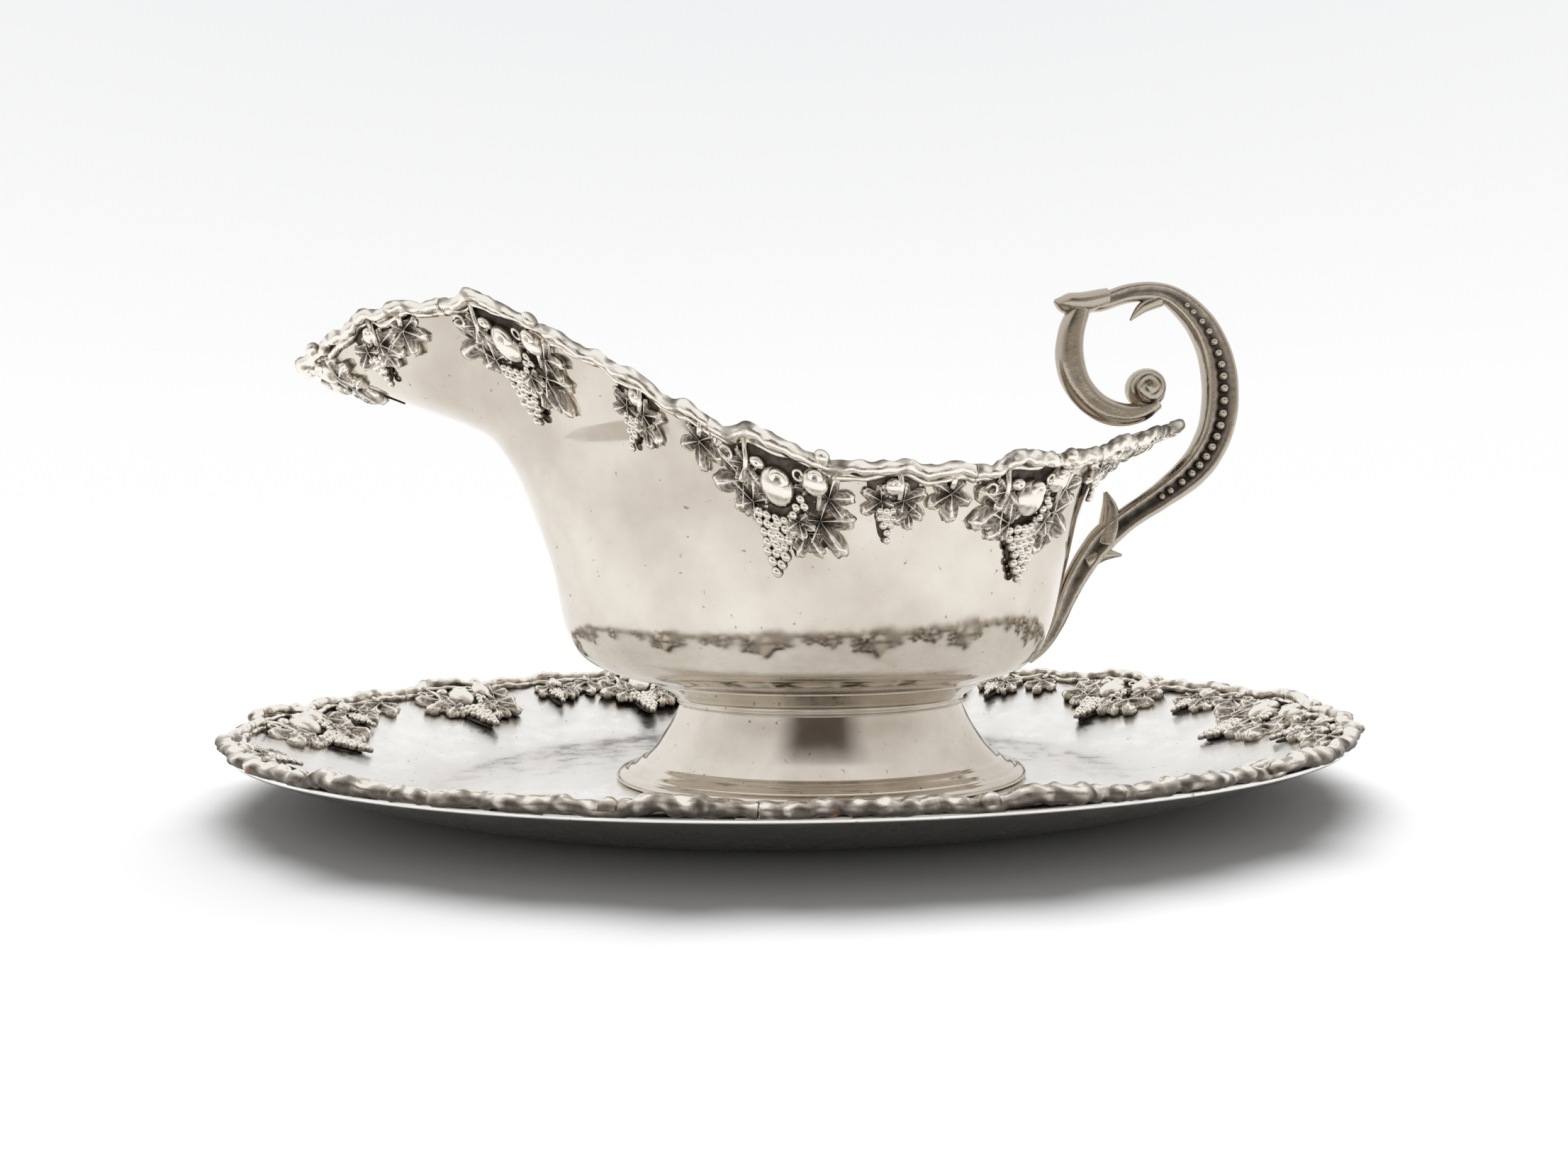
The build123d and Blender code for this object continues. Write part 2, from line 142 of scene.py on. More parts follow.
# ------------------------------------------------------------------ meshes
def add_mesh(name, points, faces, relief=None):
    mesh = bpy.data.meshes.new(name)
    mesh.from_pydata((np.asarray(points) * MM).tolist(), [], [list(map(int, f)) for f in faces])
    mesh.shade_smooth()
    if relief is not None:
        layer = mesh.attributes.new("relief", "FLOAT", "POINT")
        layer.data.foreach_set("value", np.asarray(relief, np.float32))
    mesh.update()
    piece = bpy.data.objects.new(name, mesh)
    bpy.context.scene.collection.objects.link(piece)
    return piece


def grid_faces(rows, columns, wrap_rows=False, wrap_columns=False, start=0, flip=False):
    faces = []
    for i in range(rows if wrap_rows else rows - 1):
        for j in range(columns if wrap_columns else columns - 1):
            a = start + i * columns + j
            b = start + i * columns + (j + 1) % columns
            c = start + ((i + 1) % rows) * columns + (j + 1) % columns
            d = start + ((i + 1) % rows) * columns + j
            faces.append((a, d, c, b) if flip else (a, b, c, d))
    return faces


def turned_oval(name, profile, centre_x, turns=256, closed=True):
    """Turns a closed profile of (half length, height) round the vertical and narrows it to the oval."""
    angles = np.linspace(0, 2 * math.pi, turns, endpoint=False)
    r, z = profile[:, 0][:, None], profile[:, 1][:, None]
    points = np.stack([centre_x + r * np.cos(angles), OVAL_ASPECT * r * np.sin(angles), z + 0 * angles], -1)
    faces = grid_faces(len(profile), turns, wrap_rows=closed, wrap_columns=True)
    return points.reshape(-1, 3), faces


class Parts:
    """Gathers the pieces of one casting in its own coordinates: along, inwards and height."""

    def __init__(self):
        self.points, self.faces, self.relief, self.count = [], [], [], 0

    def add(self, points, faces, relief):
        points = np.asarray(points, float).reshape(-1, 3)
        self.points.append(points)
        self.faces += [tuple(k + self.count for k in f) for f in faces]
        self.relief.append(np.broadcast_to(np.asarray(relief, float).reshape(-1), (len(points),)))
        self.count += len(points)


# ------------------------------------------------------------------ tray
def tray_height(half_length):
    slope_run = TRAY_HALF_LENGTH - TRAY_FLAT_HALF_LENGTH
    share = np.clip((half_length - TRAY_FLAT_HALF_LENGTH) / slope_run, 0, None)
    return SHEET + (TRAY_RIM_Z - SHEET) * share**1.5


def make_tray():
    r = np.concatenate([np.linspace(0.5, 80, 24), np.linspace(82, TRAY_HALF_LENGTH - 0.4, 40)])
    upper = np.stack([r, tray_height(r)], -1)
    edge = np.array([(TRAY_HALF_LENGTH, TRAY_RIM_Z - 0.4), (TRAY_HALF_LENGTH, TRAY_RIM_Z - SHEET + 0.2)])
    lower = upper[::-1] - (0, SHEET)
    lower[:, 1] = np.maximum(lower[:, 1], 0.0)
    profile = np.concatenate([upper, edge, lower])
    points, faces = turned_oval("tray", profile, 0.0, closed=False)
    turns = 256
    faces.append(tuple(range(turns))[::-1])
    last = (len(profile) - 1) * turns
    faces.append(tuple(range(last, last + turns)))
    return add_mesh("tray_plate", points, faces)


# ------------------------------------------------------------------ foot
def foot_profile():
    edge = spline([(51.5, 0.0), (52.4, 0.5), (52.5, 1.3), (51.7, 2.1), (50.0, 2.5)], 12)
    step = spline([(49.8, 2.7), (49.2, 3.1), (48.2, 3.5), (46.8, 4.5), (46.1, 4.8)], 10)
    cove = spline([(45.6, 4.9), (42.4, 8.2), (38.8, 13.4), (36.7, 17.6), (36.2, 18.6)], 22)
    ring = spline([(36.1, 18.9), (36.9, 19.5), (36.8, 20.3), (37.8, 21.4), (40.2, 22.9), (43.0, 24.7)], 16)
    outside = np.concatenate([edge, step, cove, ring]) + (0, SHEET)
    inside = np.array([
        (41.0, 24.7), (36.8, 21.2), (34.9, 18.8), (37.0, 13.6),
        (40.7, 7.8), (45.1, 3.6), (49.0, 1.3), (50.7, 0.0),
    ]) + (0, SHEET)
    return np.concatenate([outside, spline(inside, 30)])


def make_foot():
    points, faces = turned_oval("foot", foot_profile(), BOAT_X)
    return add_mesh("foot_shell", points, faces)


# ------------------------------------------------------------------ bowl
def bowl_points(angle, z, inset=0.0):
    lip, tail, width, pinch, widest = np.moveaxis(smooth(BOWL_LINES, z), -1, 0)
    if inset:
        near = np.moveaxis(smooth(BOWL_LINES, z + 0.5), -1, 0)
        lip = lip + inset * np.hypot(1, (near[0] - lip) / 0.5)
        tail = tail - inset * np.hypot(1, (near[1] - tail) / 0.5)
        width = width - inset * np.hypot(1, (near[2] - width) / 0.5)
    c, s = np.cos(angle), np.sin(angle)
    reach = np.abs(c)
    narrowing = np.where(c < 0, 1 - pinch * reach**2 * (3 - 2 * reach), 1.0)
    x = np.where(c >= 0, widest + (tail - widest) * c, widest - (widest - lip) * reach)
    return np.stack([x, width * s * narrowing, z + 0 * x], -1)


def rim_heights(angle, inset=0.0):
    """Height at which the bowl's face reaches the rim line, found by halving."""
    low, high = np.full(angle.shape, 60.0), np.full(angle.shape, 121.9)
    for _ in range(40):
        z = (low + high) / 2
        below = z < smooth(RIM_LINE, bowl_points(angle, z, inset)[..., 0])[..., 0]
        low, high = np.where(below, z, low), np.where(below, high, z)
    return low


def make_bowl():
    turns, levels = 360, 72
    angle = np.linspace(0, 2 * math.pi, turns, endpoint=False)
    share = np.linspace(0, 1, levels)[:, None] ** 1.25
    outer_top, inner_top = rim_heights(angle), rim_heights(angle, SHEET)
    outer = bowl_points(angle + 0 * share, BOWL_BASE_Z + share * (outer_top - BOWL_BASE_Z))
    base = BOWL_BASE_Z + SHEET
    inner = bowl_points(angle + 0 * share, base + share * (inner_top - base), SHEET)
    middle = (outer[-1] + inner[-1]) / 2 + (0, 0, 0.35)
    rings = np.concatenate([outer, middle[None], inner[::-1]])
    faces = grid_faces(len(rings), turns, wrap_columns=True)
    centres = []
    for ring in (rings[0], rings[-1]):
        for shrink in (0.75, 0.5, 0.25, 0.02):
            centre = ring.mean(0)
            centres.append(centre + (ring - centre) * shrink)
    points = np.concatenate([rings.reshape(-1, 3), np.concatenate(centres)])
    start = len(rings) * turns
    for i, first in enumerate((0, (len(rings) - 1) * turns)):
        loops = [first] + [start + (4 * i + k) * turns for k in range(4)]
        for a, b in zip(loops, loops[1:]):
            for j in range(turns):
                k = (j + 1) % turns
                quad = (a + j, b + j, b + k, a + k)
                faces.append(quad[::-1] if i == 1 else quad)
        loop = tuple(range(loops[-1], loops[-1] + turns))
        faces.append(loop if i == 1 else loop[::-1])
    return add_mesh("bowl_shell", points, faces)


# ------------------------------------------------------------------ edges that the borders follow
class Edge:
    """A surface read as (distance along its edge, distance inwards, height above it)."""

    def __init__(self, surface, direction, reach=34.0):
        self.steps = 1440
        angle = math.pi + direction * np.linspace(0, 2 * math.pi, self.steps + 1)
        self.inward = np.linspace(-2.0, reach, 73)
        self.points = surface(angle, self.inward)
        rim = self.points[:, np.argmin(np.abs(self.inward))]
        gone = np.linalg.norm(np.diff(rim, axis=0), axis=1)
        self.along = np.concatenate([[0], np.cumsum(gone)])
        self.length = self.along[-1]
        round_it = np.roll(self.points[:-1], -3, 0) - np.roll(self.points[:-1], 3, 0)
        inwards = np.gradient(self.points[:-1], axis=1)
        normal = unit(np.cross(inwards, round_it))
        self.normals = np.concatenate([normal, normal[:1]])

    def place(self, local):
        """World points of (along, inwards, height)."""
        along = np.mod(local[:, 0], self.length)
        i = np.interp(along, self.along, np.arange(self.steps + 1))
        j = np.interp(local[:, 1], self.inward, np.arange(len(self.inward)))
        i0 = np.minimum(i.astype(int), self.steps - 1)
        j0 = np.minimum(j.astype(int), len(self.inward) - 2)
        a, b = (i - i0)[:, None], (j - j0)[:, None]

        def mix(grid):
            near = grid[i0, j0] * (1 - a) + grid[i0 + 1, j0] * a
            far = grid[i0, j0 + 1] * (1 - a) + grid[i0 + 1, j0 + 1] * a
            return near * (1 - b) + far * b

        beyond = np.minimum(local[:, 1] - self.inward[0], 0)[:, None]
        down = unit(self.points[i0, 1] - self.points[i0, 0])
        return mix(self.points) + down * beyond + unit(mix(self.normals)) * local[:, 2:3]


def boat_surface(angle, inward):
    """Straight down the bowl's face from the rim, leaning towards the handle on the pouring channel."""
    def rim_at(turn):
        return bowl_points(turn, rim_heights(turn))

    rim = rim_at(angle)
    level = unit((rim_at(angle + 0.01) - rim_at(angle - 0.01)) * (1, 1, 0))
    lean = SPOUT_LEAN * np.clip((LEAN_START_X - rim[:, 0]) / LEAN_RUN, 0, 1)
    lean = lean * np.clip(level[:, 0] / LEAN_FADE, -1, 1)

    def sideways(turn, z):
        return np.sum((bowl_points(turn, z) - rim) * level, axis=1)

    turn, z, gone = angle.copy(), rim[:, 2].copy(), np.zeros(len(angle))
    trail, way = [rim], [gone]
    for _ in range(90):
        z = np.maximum(z - 0.5, BOWL_BASE_Z + 1)
        for _ in range(3):
            miss = sideways(turn, z) - lean * (rim[:, 2] - z)
            rate = (sideways(turn + 0.01, z) - sideways(turn - 0.01, z)) / 0.02
            turn = turn - np.clip(miss / rate, -0.05, 0.05)
        lower = bowl_points(turn, z)
        gone = gone + np.linalg.norm(lower - trail[-1], axis=1)
        trail.append(lower)
        way.append(gone)
    trail, way = np.array(trail), np.array(way)
    up = unit(trail[0] - trail[3])
    out = np.zeros((len(angle), len(inward), 3))
    for k in range(len(angle)):
        for axis in range(3):
            out[k, :, axis] = np.interp(inward, way[:, k], trail[:, k, axis])
    for j, v in enumerate(inward):
        if v < 0:
            out[:, j] = trail[0] - up * v
    return out


def tray_surface(angle, inward):
    reach = 0.97 * inward[None, :]
    half, width = TRAY_HALF_LENGTH - reach, TRAY_HALF_LENGTH * OVAL_ASPECT - reach
    a = angle[:, None]
    return np.stack([half * np.cos(a), width * np.sin(a), tray_height(half) + 0 * a], -1)


# ------------------------------------------------------------------ the casting's ornaments
def ball(parts, at, size, rings=8, turns=12, relief=(0.25, 1.0), squash=1.0, dimple=0.0):
    """A grape or fruit, resting in the casting, with a dimple where its flower was."""
    polar = np.linspace(0.02, math.pi * 0.62, rings)[:, None]
    around = np.linspace(0, 2 * math.pi, turns, endpoint=False)
    sizes = np.broadcast_to(np.asarray(size, float), (3,))
    height = np.cos(polar) * squash - dimple * np.exp(-((polar / 0.35) ** 2))
    points = np.stack([
        at[0] + sizes[0] * np.sin(polar) * np.cos(around),
        at[1] + sizes[1] * np.sin(polar) * np.sin(around),
        at[2] + sizes[2] * height + 0 * around,
    ], -1)
    # Painted light: lighter on top and darker down the sides, as if lit from above; the flower's dimple is
    # painted darker too.
    shade = relief[0] + (relief[1] - relief[0]) * np.clip(np.cos(polar) * 1.25, 0, 1) ** 1.2
    shade = shade * (1 - 0.8 * (dimple > 0) * np.exp(-((polar / 0.22) ** 2)))
    faces = grid_faces(rings, turns, wrap_columns=True, start=0, flip=True)
    faces.append(tuple(range(turns)))
    parts.add(points, faces, shade + 0 * around)


def rod(parts, line, radius, turns=10, bark=0.0, seed=1, relief=(0.15, 1.0), flat=1.0):
    """A round bar along points of (along, inwards, height) with a radius at each."""
    line = np.asarray(line, float)
    radius = np.broadcast_to(np.asarray(radius, float), (len(line),))
    ahead = unit(np.gradient(line, axis=0))
    side = unit(np.cross(ahead, np.broadcast_to((0.0, 0.0, 1.0), ahead.shape)))
    up = np.cross(side, ahead)
    around = np.linspace(0, 2 * math.pi, turns, endpoint=False)
    ridge = 1 + bark * (np.cos(3 * around[None, :] + 0.6) * 0.6)
    ring = (side[:, None] * np.cos(around)[None, :, None]
            + up[:, None] * (np.sin(around) * flat)[None, :, None])
    points = line[:, None] + ring * (radius[:, None] * ridge)[..., None]
    if bark:
        points = points + ring * (bark * 0.7 * radius[:, None] * grain(points, 2.6, seed))[..., None]
    # Painted light: the upper side of each bar is painted lighter and its underside darker, as if lit from
    # above; on bark, uneven darker streaks are added.
    lit = 0.5 + 0.62 * np.sin(around)[None, :] + 0 * radius[:, None]
    if bark:
        lit = lit - 0.24 + 0.34 * grain(points, 3.4, seed + 3)
    shade = relief[0] + (relief[1] - relief[0]) * np.clip(lit, 0, 1)
    faces = grid_faces(len(line), turns, wrap_columns=True)
    faces.append(tuple(range(turns))[::-1])
    last = (len(line) - 1) * turns
    faces.append(tuple(range(last, last + turns)))
    parts.add(points, faces, shade)


def leaf(parts, at, size, turn, height, tilt=0.1, seed=3, curl=0.5):
    """A vine leaf: five broad toothed lobes, a raised vein down each, blisters between, edges curled over."""
    rings, turns = 15, 110
    share = np.linspace(0.03, 1, rings)[:, None]
    around = np.linspace(-math.pi, math.pi, turns, endpoint=False)
    spread = np.array([0.0, 1.08, -1.08, 2.15, -2.15])
    reach = np.array([1.0, 0.92, 0.92, 0.70, 0.70])
    off = (around[:, None] - spread[None, :] + math.pi) % (2 * math.pi) - math.pi
    nearest = np.min(np.abs(off), axis=1)[None, :]
    lobe = np.max(reach * np.exp(-((np.abs(off) / 0.62) ** 2.6)), axis=1)
    teeth = 0.055 * np.abs(np.sin(9.5 * around + seed)) + 0.02 * np.sin(23 * around + 2 * seed)
    outline = np.maximum(0.5, lobe) * (1 - teeth)
    outline = outline * (1 - 0.7 * np.exp(-(((np.abs(around) - math.pi) / 0.2) ** 2)))
    vein = np.max(np.exp(-((off / 0.085) ** 2)) * reach, axis=1)[None, :] * (1 - 0.45 * share)
    ribs = np.cos(30 * share - 9 * nearest) * np.clip(nearest / 0.12, 0, 1) * share
    between = np.clip(nearest / 0.3, 0, 1)
    lift = height + size * (0.085 * vein + 0.022 * ribs)
    lift = lift + size * 0.13 * between * np.sin(share * math.pi) * np.sin(2.2 * around[None, :] + seed)
    lift = lift + size * 0.06 * np.sin(5 * around[None, :] + seed) * share**2
    lift = lift - size * 0.10 * between * (1 - share) + tilt * size * np.cos(around)[None, :] * share
    lift = lift - curl * size * np.clip(share - 0.8, 0, 1) * 1.6
    lift = np.maximum(lift, 0.35)
    # Patina and painted light: raised veins and the outer edge are painted lighter, the hollows between the
    # lobes darker, and the skirt under the edge near black as painted shade.
    shade = 0.40 + 0.65 * vein + 0.20 * ribs - 0.30 * between * (1 - share)
    shade = np.clip(shade + 0.45 * np.clip(share - 0.72, 0, 1) / 0.28, 0.06, 1)
    r, a = size * share * outline[None, :], around + np.radians(turn)
    top = np.stack([at[0] + r * np.cos(a), at[1] - r * np.sin(a), lift], -1)
    middle = np.array([at[0], at[1], 0.0])
    skirt = middle + (top[-1] - middle) * (0.93, 0.93, 0.0) + (0, 0, -0.4)
    points = np.concatenate([top.reshape(-1, 3), skirt])
    faces = grid_faces(rings + 1, turns, wrap_columns=True)
    faces.append(tuple(range(turns))[::-1])
    parts.add(points, faces, np.concatenate([shade.reshape(-1), np.full(turns, 0.02)]))


def bunch(parts, at, width, length, grape, seed, lean=0.0):
    """Grapes packed in a tapering bunch, each a little different, heaped up along the middle."""
    rng = np.random.default_rng(seed)
    rows = int(length / (grape * 1.5)) + 1
    for k in range(rows):
        down = k / max(rows - 1, 1)
        half = width * (1 - down**1.5 * 0.92)
        count = max(1, int(round(2 * half / (grape * 1.68))))
        for i in range(count):
            across = (i - (count - 1) / 2) * grape * 1.66
            x = at[0] + across + lean * down + rng.uniform(-0.12, 0.12) * grape
            y = at[1] + down * length + rng.uniform(-0.15, 0.15) * grape
            heap = 0.9 + 1.1 * (1 - (across / (width + 0.5)) ** 2)
            size = grape * rng.uniform(0.9, 1.16)
            ball(parts, (x, y, 0.25 + heap * 0.55), size, rings=7, turns=12)
    for i in range(max(2, rows - 2)):
        down = (i + 0.5) / rows
        ball(parts, (at[0] + lean * down + (-1) ** i * 0.4 * grape, at[1] + down * length * 0.86, 1.35),
             grape * 1.05)


def backing(parts, outline, height=0.25):
    """The ground that the ornaments stand on, painted near black: oxide in the recesses and painted shade
    between the ornaments.
    """
    outline = spline(outline, 48, closed=True)
    middle = outline.mean(0)
    rows = [np.column_stack([middle + (outline - middle) * s, np.full(len(outline), h)])
            for s, h in ((0.02, height), (0.35, height), (0.7, height), (0.95, height), (1.0, height - 0.6))]
    faces = grid_faces(len(rows), len(outline), wrap_columns=True, flip=True)
    faces.append(tuple(range(len(outline))))
    parts.add(np.concatenate(rows), faces, 0.1)


def branch(parts, seed, bunch_at, leaf_at, length):
    """The vine stem along the edge: a hump over each ornament, a knob, and a second twisted strand."""
    along = np.linspace(-LEAD + 0.1, length - LEAD - 0.1, int(2.2 * length))
    humps = [(-1.5, 6.6, 2.3), (bunch_at, 4.4, 1.0), (leaf_at, 4.4, 0.8)]
    rise = sum(h * np.exp(-(((along - c) / w) ** 4)) for c, w, h in humps)
    free = np.clip(np.minimum(along - along[0], along[-1] - along) / 4.0, 0, 1)
    inwards = 0.1 - free * (rise - 0.4 * np.sin(along * 0.55 + 1))
    height = 1.0 + free * (0.4 * np.sin(along * 0.4) + 0.3 * rise)
    radius = 1.5 + free * (0.15 * np.sin(along * 1.3 + 2) + 0.1 * rise)
    rod(parts, np.column_stack([along, inwards, height]), radius, turns=16, bark=0.16, seed=seed)
    second = inwards + 1.7 + free * 0.5 * np.sin(along * 0.33 + 2.4)
    low = 0.6 + free * 0.35 * np.cos(along * 0.33)
    rod(parts, np.column_stack([along, second, low]), 0.9 + 0.1 * np.sin(along), turns=10, bark=0.18,
        seed=seed + 7)
    ball(parts, (10.6, -1.2, 1.0), (1.8, 1.7, 1.9), rings=10, turns=16)


def curl(parts, at, size, start, sweep, thick=0.35):
    """A tendril: a small open ring."""
    a = np.radians(np.linspace(start, start + sweep, 22))
    r = size * np.linspace(1, 0.62, 22)
    line = np.column_stack([at[0] + r * np.cos(a), at[1] + r * np.sin(a), np.full(22, 2.1)])
    rod(parts, line, thick, turns=7, relief=(0.35, 1.0))


def fruit(parts, at, size, turn, seed):
    """A pear-like fruit half hidden by a folded leaf, with the hole its stalk left."""
    ball(parts, at, size, rings=16, turns=28, relief=(0.3, 0.95))
    a = math.radians(turn)
    cap = (at[0] + size[0] * 0.35 * math.cos(a), at[1] + size[1] * 0.45 * math.sin(a), at[2] + size[2] * 0.45)
    ball(parts, cap, (size[0] * 0.62, size[1] * 0.55, size[2] * 0.62), rings=12, turns=20, dimple=0.45)
    leaf(parts, (at[0] - 0.55 * size[0], at[1] + 0.5 * size[1]), size[0] * 0.95, 200 + turn, at[2] + 0.9,
         seed=seed)


def large_cluster(parts, seed):
    backing(parts, [
        (-10.5, 0), (-11.5, 8), (-8, 12), (-4.4, 15), (-2.6, 21), (0.2, 24.6), (2.6, 21), (5, 17.5),
        (11, 18.5), (14, 14), (13.8, 7), (12.6, 0),
    ])
    leaf(parts, (-6.8, 8.6), 8.6, 205, 1.5, seed=1)
    leaf(parts, (-4.6, 12.4), 6.4, 150, 1.8, seed=5)
    leaf(parts, (-6.2, 4.8), 5.2, 250, 1.9, seed=12)
    leaf(parts, (10.2, 12.4), 8.8, -50, 1.5, seed=2)
    leaf(parts, (7.4, 15.6), 6.2, -115, 1.9, seed=6)
    leaf(parts, (12.0, 7.2), 6.0, 12, 1.8, seed=8)
    bunch(parts, (0.4, 14.2), 4.9, 11.4, 1.15, seed + 11)
    fruit(parts, (0.8, 7.4, 0.8), (4.1, 4.5, 3.1), -65, 14)
    fruit(parts, (9.0, 4.6, 0.8), (3.2, 3.2, 2.6), -80, 15)
    ball(parts, (-3.4, 3.6, 1.3), (1.9, 1.5, 1.7), rings=8, turns=14, dimple=0.2)
    leaf(parts, (5.6, 13.4), 4.2, -75, 2.7, seed=16)
    for x, y in ((5.0, 10.6), (6.8, 10.0), (6.0, 8.6), (4.4, 12.4)):
        ball(parts, (x, y, 1.9), 1.05)
    curl(parts, (5.6, 3.4), 1.25, 40, 330)
    curl(parts, (-10.4, 4.2), 1.5, 200, 300)


def small_bunch(parts, at, seed):
    backing(parts, [
        (at - 4, 0), (at - 4.6, 5), (at - 3.2, 9), (at - 2.2, 14), (at - 0.6, 14.4), (at + 2.4, 10),
        (at + 6.4, 7), (at + 5.8, 0),
    ])
    leaf(parts, (at + 3.0, 6.2), 6.3, -40, 1.5, seed=4)
    leaf(parts, (at - 1.8, 6.4), 5.2, 215, 1.4, seed=9)
    leaf(parts, (at + 3.8, 8.8), 4.0, -80, 1.9, seed=17)
    bunch(parts, (at - 0.6, 8.6), 2.6, 6.2, 0.9, seed + 5)
    fruit(parts, (at + 0.8, 3.4, 0.8), (2.1, 2.0, 1.9), -70, 18)


def casting(seed, bunch_at, leaf_at, length):
    """One section of border in its own flat coordinates: along, inwards and height."""
    parts = Parts()
    branch(parts, seed, bunch_at, leaf_at, length)
    large_cluster(parts, seed)
    small_bunch(parts, bunch_at, seed)
    leaf(parts, (leaf_at, 4.6), 6.6, -88, 1.5, seed=7)
    stems = ((-6.4, 8.0), (9.8, 10.0), (bunch_at + 2.0, 6.0), (leaf_at, 3.4))
    for along, inwards in stems:
        rod(parts, [(along, -0.3, 0.9), (along + 0.4, inwards / 2, 1.7), (along, inwards, 1.6)], 0.7, turns=8)
    return parts


def make_border(prefix, edge, clusters, body, slot):
    following = [row[0] for row in clusters[1:]] + [edge.length + clusters[0][0]]
    for i, ((centre, bunch_at, leaf_at), end) in enumerate(zip(clusters, following)):
        parts = casting(20 + i, bunch_at, leaf_at, end - centre)
        local = np.concatenate(parts.points) + (centre, 0, 0)
        local[:, 2] = np.maximum(local[:, 2], -MOUNT_SINK)
        name = f"{prefix}_{i + 1:02d}"
        piece = add_mesh(f"{name}_casting", edge.place(local), parts.faces, np.concatenate(parts.relief))
        finish_piece(piece, body, slot, MATERIALS["border"], name)


# ------------------------------------------------------------------ handle
HANDLE_BOW = np.array([
    (70.0, 121.2, 2.2), (77.0, 121.2, 2.4), (85.0, 123.4, 2.4), (93.0, 123.3, 2.5), (98.8, 119.8, 3.1),
    (103.8, 113.8, 3.7), (106.9, 106.4, 4.1), (108.0, 98.3, 4.4), (107.2, 89.8, 4.4), (104.2, 82.6, 4.3),
    (99.4, 76.8, 4.0), (92.6, 71.6, 3.4), (85.0, 66.6, 3.1), (78.6, 61.6, 3.5), (74.4, 56.4, 3.2),
    (71.1, 51.0, 2.9), (68.4, 45.0, 2.4), (66.0, 39.0, 1.9), (62.6, 33.6, 1.6), (58.6, 30.2, 1.5),
])
HANDLE_SCROLL = np.array([
    (72.0, 119.6, 2.8), (69.9, 113.5, 3.3), (69.6, 106.6, 3.6), (71.6, 100.3, 3.5), (75.9, 95.4, 3.3),
    (81.6, 92.9, 3.1), (87.4, 93.2, 2.6), (91.6, 95.9, 2.2),
])
VOLUTE = (89.0, 99.2, 5.2)
HANDLE_UPRIGHT_LEAF = np.array([(78.5, 59.5, 2.6), (79.6, 64.5, 2.6), (79.8, 69.0, 2.0), (78.7, 73.0, 0.5)])
HANDLE_SPUR_LEAF = np.array([(73.5, 55.0, 2.4), (78.0, 56.9, 1.8), (83.0, 56.8, 0.4)])
HANDLE_TONGUE = np.array([(92.5, 121.6, 1.8), (88.2, 119.8, 1.5), (85.0, 116.6, 0.3)])
HANDLE_THUMB_LEAF = np.array([(79.0, 122.4, 2.4), (73.0, 121.0, 2.8), (68.4, 121.0, 2.5), (65.6, 121.7, 0.5)])


def handle_bar(parts, rows, steps, width=1.0, groove=0.0):
    """A bar in the XZ plane. groove hollows both of its side faces, leaving a bead along each edge."""
    rows = spline(rows, steps)
    line, radius = rows[:, :2], rows[:, 2:3]
    ahead = unit(np.gradient(line, axis=0))
    across = np.stack([ahead[:, 1], -ahead[:, 0]], -1)
    turns = 28
    around = np.linspace(0, 2 * math.pi, turns, endpoint=False)
    ends = np.sin(math.pi * np.linspace(0, 1, steps))[:, None] ** 0.5
    hollow = groove * np.exp(-((np.cos(around) / 0.55) ** 2)) * ends
    out = np.cos(around)[None, :] * radius
    deep = np.sin(around)[None, :] * (1 - hollow) * width * radius
    way = np.stack([across[:, 0:1] * out, deep, across[:, 1:2] * out], -1)
    middle = np.stack([line[:, 0], 0 * line[:, 0], line[:, 1]], -1)[:, None]
    points = middle + way
    points = points + (0.05 * grain(points, 7.0, 5))[..., None] * unit(way)
    faces = grid_faces(steps, turns, wrap_columns=True)
    faces.append(tuple(range(turns))[::-1])
    last = (steps - 1) * turns
    faces.append(tuple(range(last, last + turns)))
    parts.add(points, faces, 1 - 1.3 * hollow)


def volute(parts):
    """The scroll's fat end, with the groove of its spiral cut round it."""
    x, z, size = VOLUTE
    rings, turns = 24, 48
    polar = np.linspace(0.02, math.pi - 0.02, rings)[:, None]
    around = np.linspace(0, 2 * math.pi, turns, endpoint=False)[None, :]
    wind = np.sin(polar) * 2.1 - around / (2 * math.pi)
    cut_in = np.exp(-(((wind - np.round(wind)) / 0.13) ** 2)) * np.clip(np.sin(polar) * 3, 0, 1)
    r = size * (1 - 0.09 * cut_in)
    points = np.stack([
        x + r * np.sin(polar) * np.cos(around),
        r * np.cos(polar) * 0.92,
        z + r * np.sin(polar) * np.sin(around),
    ], -1)
    faces = grid_faces(rings, turns, wrap_columns=True)
    faces.append(tuple(range(turns))[::-1])
    faces.append(tuple(range((rings - 1) * turns, rings * turns)))
    # Painted shade: the spiral groove is painted far darker than its shallow cut would show.
    parts.add(points, faces, 0.95 - 0.85 * cut_in)


def bow_beads(parts):
    """A row of beads in the channel on each side of the bow."""
    rows = spline(HANDLE_BOW[4:12], 20)
    for x, z, radius in rows:
        for side in (-1, 1):
            polar = np.linspace(0.05, math.pi - 0.05, 7)[:, None]
            around = np.linspace(0, 2 * math.pi, 10, endpoint=False)[None, :]
            size = 0.27 * radius
            points = np.stack([
                x + size * np.sin(polar) * np.cos(around),
                side * 0.55 * radius + size * np.cos(polar) + 0 * around,
                z + size * np.sin(polar) * np.sin(around),
            ], -1)
            faces = grid_faces(7, 10, wrap_columns=True)
            faces.append(tuple(range(10))[::-1])
            faces.append(tuple(range(60, 70)))
            parts.add(points, faces, 0.8)


